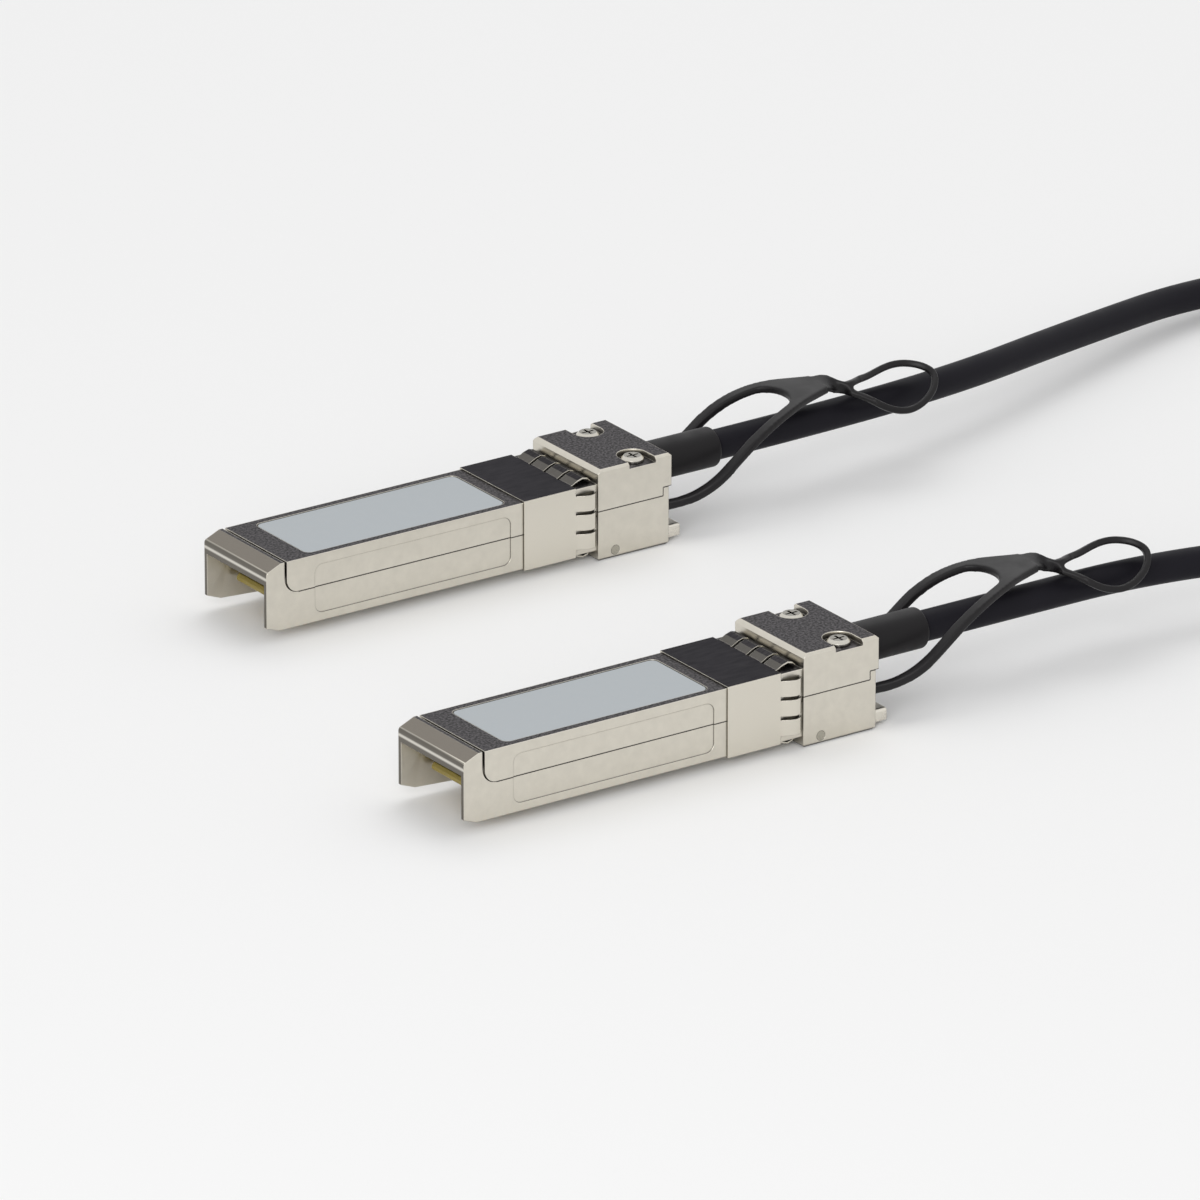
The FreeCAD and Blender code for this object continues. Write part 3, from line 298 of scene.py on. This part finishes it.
def plated_casting(name, seam_side):
    """Nickel-plated zinc die casting: satin and faintly mottled, and grit-blasted on top, where it
    is painted dark as painted reflection of a dark room above.

    The seam between the two halves shows as a fine dark line, at the lower edge of the cover's
    sides where seam_side is -1, and at the upper edge of the base's where it is 1."""
    look = settings().casting
    material, tree, coords = new_material(name)
    place = add(tree, "SeparateXYZ", coords["Object"])
    rounded, turned, turn = rounding(tree, 0.15 * MM)
    up = facing_up(tree, coords)
    upright = mask(tree, (facing_up(tree, coords, 0.1, 0.3), 0, 1, 1, 0))

    # Painted reflection: faces that look up are painted dark, as if they mirrored a dark room
    # above, with the grit speckled over the level top; the hood's slope is smoother and painted
    # paler than the level top behind it, and top edges are painted bright, as painted highlight.
    level = facing_up(tree, coords, 0.94, 0.99)
    grit = grit_marks(tree, coords, look)
    blasted = layers(tree, shade(look.painted_dark_top_colour, 0.5),
                     (mask(tree, (grit, 0.4, 0.62, 0, 1)), shade(look.painted_dark_top_colour, 1.8)))
    tops = layers(tree, shade(look.slope_colour), (level, blasted),
                  (mask(tree, (turned, 0.12, 0.4, 0, 0.85)), shade(look.side_colour)))

    # Painted highlight: a bright line along the upper edges of the sides, above 8.3 mm.
    painted_edge_highlight = mask(tree, upright, (turn["Z"], 0.25, 0.5, 0, 0.8),
                  (place["Z"], 8.3 * MM, 8.5 * MM, 0, 1))
    sides = layers(tree, satin_sides(tree, coords, look), (painted_edge_highlight, shade(look.painted_highlight_colour)))
    if seam_side > 0:
        sides = hood_front(tree, coords, place, look, sides)

    # Shadow in the seam, in the fine grooves and slots, and in the wider corners
    shadow = shade(look.seam_colour)
    seam = mask(tree, seam_line(tree, place, turn, seam_side), upright)
    colour = layers(tree, sides, (up, tops), (seam, shadow))
    for reach, darkest in ((0.16 * MM, 0.2), (0.7 * MM, 0.35)):
        colour = layers(tree, shadow, (crevices(tree, reach, darkest), colour))

    return finish_material(material, tree, {
        "Base Color": colour, "Metallic": 1.0, "Roughness": mask(tree, (up, 0, 1, 0.32, 0.48)),
        "Normal": add(tree, "Bump", sockets={
            "Strength": 0.5, "Distance": 0.05 * MM, "Normal": rounded,
            "Height": mask(tree, grit, (up, 0, 1, 0.1, 1))})[0],
        # Painted reflection: the level tops' reflections are tinted grey, which darkens them
        # further.
        "Specular Tint": layers(tree, (1, 1, 1, 1), (mask(tree, up, level),
                                                     (0.72, 0.72, 0.73, 1)))})


def plain_casting(name):
    """The same plating where no edge shows: satin sides only, with fine grit marks."""
    look = settings().casting
    material, tree, coords = new_material(name)
    return finish_material(material, tree, {
        "Base Color": satin_sides(tree, coords, look), "Metallic": 1.0, "Roughness": 0.32,
        "Normal": add(tree, "Bump", sockets={
            "Strength": 0.5, "Distance": 0.005 * MM,
            "Height": grit_marks(tree, coords, look)})[0]})


def spring_sheet_plating():
    """Nickel-plated spring sheet: smoother than the castings, with rolling lines on its top, which
    is painted dark as painted reflection, with painted highlights along its edges.

    The lines are some hundredths of a millimetre apart, and drawn 0.25 mm apart to show."""
    look = settings().casting
    material, tree, coords = new_material("nickel_plated_spring_sheet")
    up = facing_up(tree, coords, 0.55, 0.93)
    drawn_out = add(tree, "Mapping", sockets={"Vector": coords["Object"],
                                              "Scale": (0.12, 1.0, 1.0)})[0]
    lines = add(tree, "TexNoise", sockets={"Vector": drawn_out, "Scale": 1 / (0.25 * MM),
                                           "Detail": 3.0})["Fac"]
    rounded, turned, _ = rounding(tree, 0.1 * MM)
    # Painted reflection: the top is painted dark, as if it mirrored a dark room above, with the
    # rolling lines over it and painted highlights along its edges.
    tops = layers(tree, shade(look.painted_dark_top_colour, 0.4),
                  (mask(tree, (lines, 0.35, 0.65, 0, 1)), shade(look.painted_dark_top_colour, 0.67)),
                  (mask(tree, (turned, 0.12, 0.4, 0, 0.8)), shade(look.side_colour)))
    colour = layers(tree, shade(look.side_colour), (up, tops))
    return finish_material(material, tree, {
        "Base Color": layers(tree, shade(look.seam_colour),
                             (crevices(tree, 0.5 * MM, 0.3), colour)),
        "Metallic": 1.0, "Roughness": 0.26,
        "Normal": add(tree, "Bump", sockets={
            "Strength": 0.3, "Distance": 0.02 * MM, "Height": lines, "Normal": rounded})[0],
        # Painted reflection: the top's reflections are tinted grey, which darkens them further.
        "Specular Tint": layers(tree, (1, 1, 1, 1), (up, (0.555, 0.555, 0.575, 1)))})


def metal(name, hex_colour, roughness, mark_size, crown=1.0, rim=0.0):
    """A plain metal with faint marks of its making, about mark_size apart, and painted shade in its
    hollows.

    crown scales the colour of faces that look up, as painted reflection, and rim is how dark the
    painted shade along its edges is drawn."""
    material, tree, coords = new_material(name)
    marks = add(tree, "TexNoise", sockets={
        "Vector": coords["Object"], "Scale": 1 / mark_size, "Detail": 3.0,
        "Roughness": 0.6})["Fac"]
    colour = linear(hex_colour)
    shadow = shade(settings().casting.seam_colour)
    rounded, turned, _ = rounding(tree, 0.1 * MM)
    plain = layers(tree, shade(colour, 0.85), (marks, shade(colour)))
    plain = layers(tree, plain, (facing_up(tree, coords, 0.85, 0.98), shade(colour, crown)),
                   (mask(tree, (turned, 0.1, 0.4, 0, rim)), shadow))
    return finish_material(material, tree, {
        "Base Color": layers(tree, shadow, (crevices(tree, 0.4 * MM, 0.15), plain)),
        "Metallic": 1.0,
        "Roughness": mask(tree, (marks, 0.3, 0.7, roughness - 0.06, roughness + 0.08)),
        "Normal": add(tree, "Bump", sockets={
            "Strength": 0.25, "Distance": 0.02 * MM, "Height": marks, "Normal": rounded})[0]})


def plastic(name, colour, roughness, grain, depth, gloss=0.5, change=0.15):
    """A moulded or coated piece: one colour, a fine grain and a soft sheen that varies a little.

    The colour varies by the share change, in patches of twelve grains."""
    material, tree, coords = new_material(name)
    fine, wide = [add(tree, "TexNoise", sockets={
        "Vector": coords["Object"], "Scale": 1 / size, "Detail": 2.0,
        "Roughness": 0.5})["Fac"] for size in (grain, 12 * grain)]
    return finish_material(material, tree, {
        "Base Color": layers(tree, shade(colour, 1 - change), (wide, shade(colour, 1 + change))),
        "Roughness": mask(tree, (wide, 0.3, 0.7, roughness - 0.05, roughness + 0.07)),
        "IOR": 1.5, "Specular IOR Level": gloss,
        "Normal": add(tree, "Bump", sockets={
            "Strength": 0.4, "Distance": depth, "Height": fine})[0]})


# Pieces

def both(*names):
    """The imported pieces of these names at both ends."""
    return [f"{name}_{end}" for name in names for end in ENDS]


def paint(nodes, material):
    """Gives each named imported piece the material, whatever slots it came with."""
    for name in nodes:
        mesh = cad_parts[name].data
        mesh.materials.clear()
        mesh.materials.append(material)


def mating_end(end):
    """How far along X a plug's mating end lies."""
    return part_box(f"lower_shell_{end}")[0][0]


def middle(end):
    """How far along Y the middle of a plug lies."""
    low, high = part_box(f"label_{end}")
    return (low[1] + high[1]) / 2


def merged_copy(node):
    """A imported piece's mesh with its loose triangles joined."""
    shape = bmesh.new()
    shape.from_mesh(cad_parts[node].data)
    bmesh.ops.remove_doubles(shape, verts=shape.verts, dist=0.001 * MM)
    return shape


def add_object(name, data):
    item = bpy.data.objects.new(name, data)
    bpy.context.scene.collection.objects.link(item)
    return item


def add_piece(shape, name, material, body):
    """Makes the shape a finished piece that rides on a body."""
    mesh = bpy.data.meshes.new(name)
    shape.to_mesh(mesh)
    shape.free()
    mesh.materials.append(material)
    piece = add_object(name, mesh)
    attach(piece, body)
    return piece


class DressOperator:
    """What all the steps share"""
    bl_options = {"REGISTER", "UNDO"}


class CABLE_OT_camera(DressOperator, bpy.types.Operator):
    """Sets up the camera with a long lens, above the mating ends and to one side"""
    bl_idname = "cable_dress.camera"
    bl_label = "Camera"

    def execute(self, context):
        look = settings().stage
        turn, lift = look.camera_turn, look.camera_lift
        away = Vector((math.sin(turn) * math.cos(lift), -math.cos(turn) * math.cos(lift),
                       math.sin(lift)))
        data = bpy.data.cameras.new("camera")
        data.lens = look.camera_lens
        camera = add_object("camera", data)
        camera.location = Vector(look.camera_target) + away * look.camera_distance
        camera.rotation_euler = away.to_track_quat("Z", "Y").to_euler()
        context.scene.camera = camera
        return {"FINISHED"}


class CABLE_OT_cable(DressOperator, bpy.types.Operator):
    """Lays the jacketed twinax cable between the two plugs"""
    bl_idname = "cable_dress.cable"
    bl_label = "Cable"

    def execute(self, context):
        curve = bpy.data.curves.new("cable_jacket", "CURVE")
        curve.dimensions = "3D"
        spline = curve.splines.new("NURBS")
        spline.points.add(len(CABLE_ROUTE) - 1)
        for point, place in zip(spline.points, CABLE_ROUTE):
            point.co = (*place, 1)
        spline.order_u = 3
        spline.use_endpoint_u = True
        curve.resolution_u = 16
        curve.bevel_depth = CABLE_DIAMETER / 2
        curve.bevel_resolution = 8
        curve.use_fill_caps = True
        # Extruded PVC, near black, with a dull skin of fine dimples
        curve.materials.append(plastic("pvc_jacket", settings().plastic.jacket_colour, 0.46,
                                       0.35 * MM, 0.015 * MM, gloss=0.07))
        cable = add_object("cable_jacket", curve)
        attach(cable, ROOT)
        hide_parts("cable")
        return {"FINISHED"}


class CABLE_OT_castings(DressOperator, bpy.types.Operator):
    """Plates the two halves of each plug's housing, the slider and the latch"""
    bl_idname = "cable_dress.castings"
    bl_label = "Castings"

    def execute(self, context):
        paint(both("upper_shell"), plated_casting("nickel_plated_zinc_cover", -1))
        paint(both("lower_shell"), plated_casting("nickel_plated_zinc_base", 1))
        # The small castings of the release: the same plating, tumbled, and painted a little
        # brighter, as painted light that makes up for the shade they sit in; their upward faces are
        # painted darker, as painted reflection
        paint(both("pull_slider", "latch_lever"), metal("nickel_plated_zinc_works", "#EDE8DC", 0.3,
                                                        1.2 * MM, crown=0.6))
        return {"FINISHED"}


class CABLE_OT_mouths(DressOperator, bpy.types.Operator):
    """Thins the cheeks of each base's mouth towards their front edges, and flattens their bevel"""
    bl_idname = "cable_dress.mouths"
    bl_label = "Mouths"

    def execute(self, context):
        look = settings().casting
        front_half = HALF_WIDTH - look.cheek_edge
        for end in ENDS:
            node = f"lower_shell_{end}"
            front, centre = mating_end(end), middle(end)
            shape = merged_copy(node)
            for vert in shape.verts:
                side, behind = vert.co.y - centre, vert.co.x - front
                height = vert.co.z - UNDERSIDE
                # The inner walls open out towards the front; the channel's rear corners stay
                if abs(abs(side) - CHANNEL_HALF) < 2 * NEAR and behind < CHANNEL_LENGTH - 0.1 * MM:
                    taper = (CHANNEL_HALF - front_half) * behind / CHANNEL_LENGTH
                    vert.co.y = centre + math.copysign(front_half + taper, side)
                if abs(behind) < NEAR and abs(height - CHEEK_BEVEL) < NEAR:
                    vert.co.z = UNDERSIDE + look.bevel_rise
                elif abs(behind - CHEEK_BEVEL) < NEAR and abs(height) < NEAR:
                    vert.co.x = front + look.bevel_run
            bmesh.ops.recalc_face_normals(shape, faces=shape.faces)
            base = add_piece(shape, f"housing_base_{end}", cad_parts[node].data.materials[0],
                             ROOT)
            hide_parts(node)
        return {"FINISHED"}


class CABLE_OT_corners(DressOperator, bpy.types.Operator):
    """Casts the base's hollow corner, which the cover's lower front corner sits in"""
    bl_idname = "cable_dress.corners"
    bl_label = "Base corners"

    def execute(self, context):
        plating = plain_casting("nickel_plated_zinc_corner")
        radius, steps, half = 1.95 * MM, 12, HALF_WIDTH + 0.005 * MM
        lap, wall = 0.1 * MM, 0.8 * MM
        for end in ENDS:
            rear, centre = mating_end(end) + HOOD_LENGTH, middle(end)
            # Its outline from the side, in x and z: square outside, and a quarter round inside
            outline = [(rear - lap, PARTING - lap), (rear + radius, PARTING - lap)]
            for step in range(steps + 1):
                turn = math.radians(90 * step / steps)
                outline.append((rear + radius - radius * math.sin(turn),
                                PARTING + radius - radius * math.cos(turn)))
            outline.append((rear - lap, PARTING + radius))
            shape = bmesh.new()
            for start, stop in ((half - wall, half), (-half, wall - half)):
                face = shape.faces.new([shape.verts.new((x, centre + start, z))
                                        for x, z in outline])
                drawn = bmesh.ops.extrude_face_region(shape, geom=[face])["geom"]
                bmesh.ops.translate(shape, vec=(0, stop - start, 0), verts=[
                    item for item in drawn if isinstance(item, bmesh.types.BMVert)])
            bmesh.ops.recalc_face_normals(shape, faces=shape.faces)
            add_piece(shape, f"cover_corner_{end}", plating, ROOT)
        return {"FINISHED"}


class CABLE_OT_shoulders(DressOperator, bpy.types.Operator):
    """Closes the shoulder's wall above the contact sleeve, in front of the boot's seat"""
    bl_idname = "cable_dress.shoulders"
    bl_label = "Shoulders"

    def execute(self, context):
        plating = plain_casting("nickel_plated_zinc_shoulder")
        size, height, sunk = Vector((0.7, 5.9, 1.0)) * MM, 10.35 * MM, 0.345 * MM
        for end in ENDS:
            shape = bmesh.new()
            bmesh.ops.create_cube(shape, size=1)
            bmesh.ops.scale(shape, vec=size, verts=shape.verts)
            bmesh.ops.translate(shape, verts=shape.verts, vec=(
                mating_end(end) + PLUG_REACH + sunk, middle(end), height))
            bmesh.ops.bevel(shape, geom=shape.edges[:], offset=0.02 * MM, segments=1,
                            affect="EDGES", profile=0.5, material=-1)
            add_piece(shape, f"shoulder_wall_{end}", plating, ROOT)
        return {"FINISHED"}


class CABLE_OT_gasket(DressOperator, bpy.types.Operator):
    """Plates the contact sleeve with its sprung fingers, and finishes the return springs"""
    bl_idname = "cable_dress.gasket"
    bl_label = "Contact sleeve"

    def execute(self, context):
        paint(both("emi_gasket"), spring_sheet_plating())
        # Hardened spring steel, grey, with rolling marks
        paint(both("return_spring"), metal("spring_steel_leaf", "#8E8C88", 0.3, 0.4 * MM))
        return {"FINISHED"}


class CABLE_OT_label(DressOperator, bpy.types.Operator):
    """Finishes the bare foil label in each plug's roof"""
    bl_idname = "cable_dress.label"
    bl_label = "Label"

    def execute(self, context):
        # Matt-varnished polyester foil: even, cool grey and almost smooth
        paint(both("label"), plastic("polyester_foil", settings().plastic.foil_colour, 0.4,
                                     0.12 * MM, 0.004 * MM, gloss=0.4, change=0.03))
        return {"FINISHED"}


class CABLE_OT_card(DressOperator, bpy.types.Operator):
    """Finishes the circuit card, its contacts and its memory chip"""
    bl_idname = "cable_dress.card"
    bl_label = "Circuit card"

    def execute(self, context):
        # Glass-epoxy laminate: olive, and slightly uneven at about the pitch of its cloth
        paint(both("paddle_card"), plastic("glass_epoxy_laminate", linear("#8A7A36"), 0.45,
                                           0.3 * MM, 0.01 * MM))
        # Hard gold plating: yellow and bright
        paint(both("card_contacts"), metal("gold_plated_contacts", "#D8B25C", 0.25, 0.2 * MM))
        # Moulded epoxy: black and matt, with a fine spark-eroded grain
        paint(both("memory_chip"), plastic("moulded_epoxy", linear("#1A1A1C"), 0.6, 0.1 * MM,
                                           0.01 * MM))
        return {"FINISHED"}


class CABLE_OT_cable_entry(DressOperator, bpy.types.Operator):
    """Finishes the leads, their moulding, the ferrule and the boot"""
    bl_idname = "cable_dress.cable_entry"
    bl_label = "Cable entry"

    def execute(self, context):
        # Foil-wrapped pair: pale blue-grey, lightly creased
        paint(both("twinax_leads"), plastic("foil_wrapped_pair", linear("#A7B0BC"), 0.35,
                                            0.3 * MM, 0.02 * MM))
        # Hot-melt moulding: black and waxy
        paint(both("lead_moulding"), plastic("hot_melt_moulding", linear("#232225"), 0.55,
                                             0.3 * MM, 0.02 * MM))
        # Crimped aluminium: pale, with the die's marks
        paint(both("crimp_ferrule"), metal("crimped_aluminium", "#C9CACC", 0.35, 0.4 * MM))
        # Moulded PVC: black and matt, a little duller than the strap
        paint(both("cable_boot"), plastic("moulded_pvc", settings().plastic.boot_colour, 0.5,
                                          0.3 * MM, 0.02 * MM, gloss=0.25))
        return {"FINISHED"}


class CABLE_OT_fasteners(DressOperator, bpy.types.Operator):
    """Finishes the cover screws and the pivot pins"""
    bl_idname = "cable_dress.fasteners"
    bl_label = "Fasteners"

    def execute(self, context):
        # Nickel-plated steel: bright flanks, a crown painted darker as painted reflection, and
        # painted shade along the edges and in the cross
        paint(both("cover_screws"), metal("nickel_plated_screw", "#DCD8CE", 0.2, 0.3 * MM,
                                          crown=0.45, rim=0.3))
        # Ground steel: a grey disc with a dark rim of painted shade where it ends in the casting
        paint(both("pivot_pin"), metal("ground_steel_pin", "#B5B1A5", 0.3, 0.3 * MM, rim=0.9))
        return {"FINISHED"}


class CABLE_OT_straps(DressOperator, bpy.types.Operator):
    """Moulds each plug's pull strap with soft edges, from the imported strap's own form"""
    bl_idname = "cable_dress.straps"
    bl_label = "Pull straps"

    def execute(self, context):
        look = settings().plastic
        neck_to_end, neck_half = 14.3 * MM, 2.9 * MM
        # Moulded thermoplastic rubber: black, with a fine grain and a soft sheen
        rubber = plastic("moulded_tpu", look.strap_colour, 0.42, 0.25 * MM, 0.008 * MM, gloss=0.3)
        for end in ENDS:
            node = f"pull_strap_{end}"
            strap = add_piece(merged_copy(node), f"moulded_strap_{end}", rubber, f"release_{end}")
            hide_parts(node)
            grid = strap.modifiers.new("even_grid", "REMESH")
            grid.mode = "VOXEL"
            grid.voxel_size = look.strap_grid
            context.view_layer.update()
            even = bpy.data.meshes.new_from_object(
                strap.evaluated_get(context.evaluated_depsgraph_get()))
            strap.modifiers.clear()
            shape = bmesh.new()
            shape.from_mesh(even)
            # All edges soften; the half twist before the loop softens most
            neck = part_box(node)[1][0] - neck_to_end
            twist = [v for v in shape.verts if abs(v.co.x - neck) < neck_half]
            for region, rounds in ((shape.verts[:], look.strap_rounds), (twist, look.neck_rounds)):
                for _ in range(rounds):
                    bmesh.ops.smooth_vert(shape, verts=region, factor=0.5, use_axis_x=True,
                                          use_axis_y=True, use_axis_z=True)
            for face in shape.faces:
                face.smooth = True
            shape.to_mesh(strap.data)
            shape.free()
        return {"FINISHED"}


class CABLE_OT_stage(DressOperator, bpy.types.Operator):
    """Makes the paper sweep, the room light and the soft lamps"""
    bl_idname = "cable_dress.stage"
    bl_label = "Stage"

    def execute(self, context):
        look = settings().stage
        shape = bmesh.new()
        bmesh.ops.create_grid(shape, x_segments=1, y_segments=1, size=look.floor_reach)
        mesh = bpy.data.meshes.new("paper_sweep")
        shape.to_mesh(mesh)
        shape.free()
        # Matt background paper: pale, with next to no sheen
        material, tree, _ = new_material("matt_paper")
        mesh.materials.append(finish_material(material, tree, {
            "Base Color": shade(look.floor_colour), "Roughness": 0.9, "Specular IOR Level": 0.1}))
        add_object("paper_sweep", mesh)

        world = bpy.data.worlds.new("studio")
        world.use_nodes = True
        tree = world.node_tree
        tree.nodes.clear()
        rays = add(tree, "LightPath")
        seen = add(tree, "Math", rays["Is Camera Ray"], rays["Is Glossy Ray"],
                   operation="MAXIMUM")[0]
        level = add(tree, "MapRange", seen, 0, 1, look.world_level, look.seen_level)[0]
        air = add(tree, "Background", sockets={"Color": (1, 1, 1, 1), "Strength": level})[0]
        add(tree, "OutputWorld", air)
        context.scene.world = world

        for name, place, size, watts in LAMPS:
            data = bpy.data.lights.new(name, "AREA")
            data.energy = watts * look.key_level
            data.size = size
            lamp = add_object(name, data)
            lamp.location = place
            lamp.rotation_euler = Vector(place).to_track_quat("Z", "Y").to_euler()
        context.scene.view_settings.view_transform = "Standard"
        return {"FINISHED"}


STEPS = (
    CABLE_OT_camera, CABLE_OT_cable, CABLE_OT_stage, CABLE_OT_castings, CABLE_OT_mouths,
    CABLE_OT_corners, CABLE_OT_shoulders, CABLE_OT_gasket, CABLE_OT_label, CABLE_OT_card,
    CABLE_OT_cable_entry, CABLE_OT_fasteners, CABLE_OT_straps,
)


class CABLE_PT_dress(bpy.types.Panel):
    """Lists the steps that dress the cable"""
    bl_idname = "CABLE_PT_dress"
    bl_label = "Direct attach cable"
    bl_space_type = "VIEW_3D"
    bl_region_type = "UI"
    bl_category = "Cable"

    def draw(self, context):
        for step in STEPS:
            self.layout.operator(step.bl_idname)


CLASSES = (StageSettings, CastingSettings, PlasticSettings, DressSettings, *STEPS, CABLE_PT_dress)


def register():
    for item in CLASSES:
        bpy.utils.register_class(item)
    bpy.types.Scene.cable_dress = PointerProperty(type=DressSettings)


def unregister():
    del bpy.types.Scene.cable_dress
    for item in reversed(CLASSES):
        bpy.utils.unregister_class(item)


def main():
    register()
    for step in STEPS:
        getattr(bpy.ops.cable_dress, step.bl_idname.split(".")[1])()


if __name__ == "__main__":
    main()
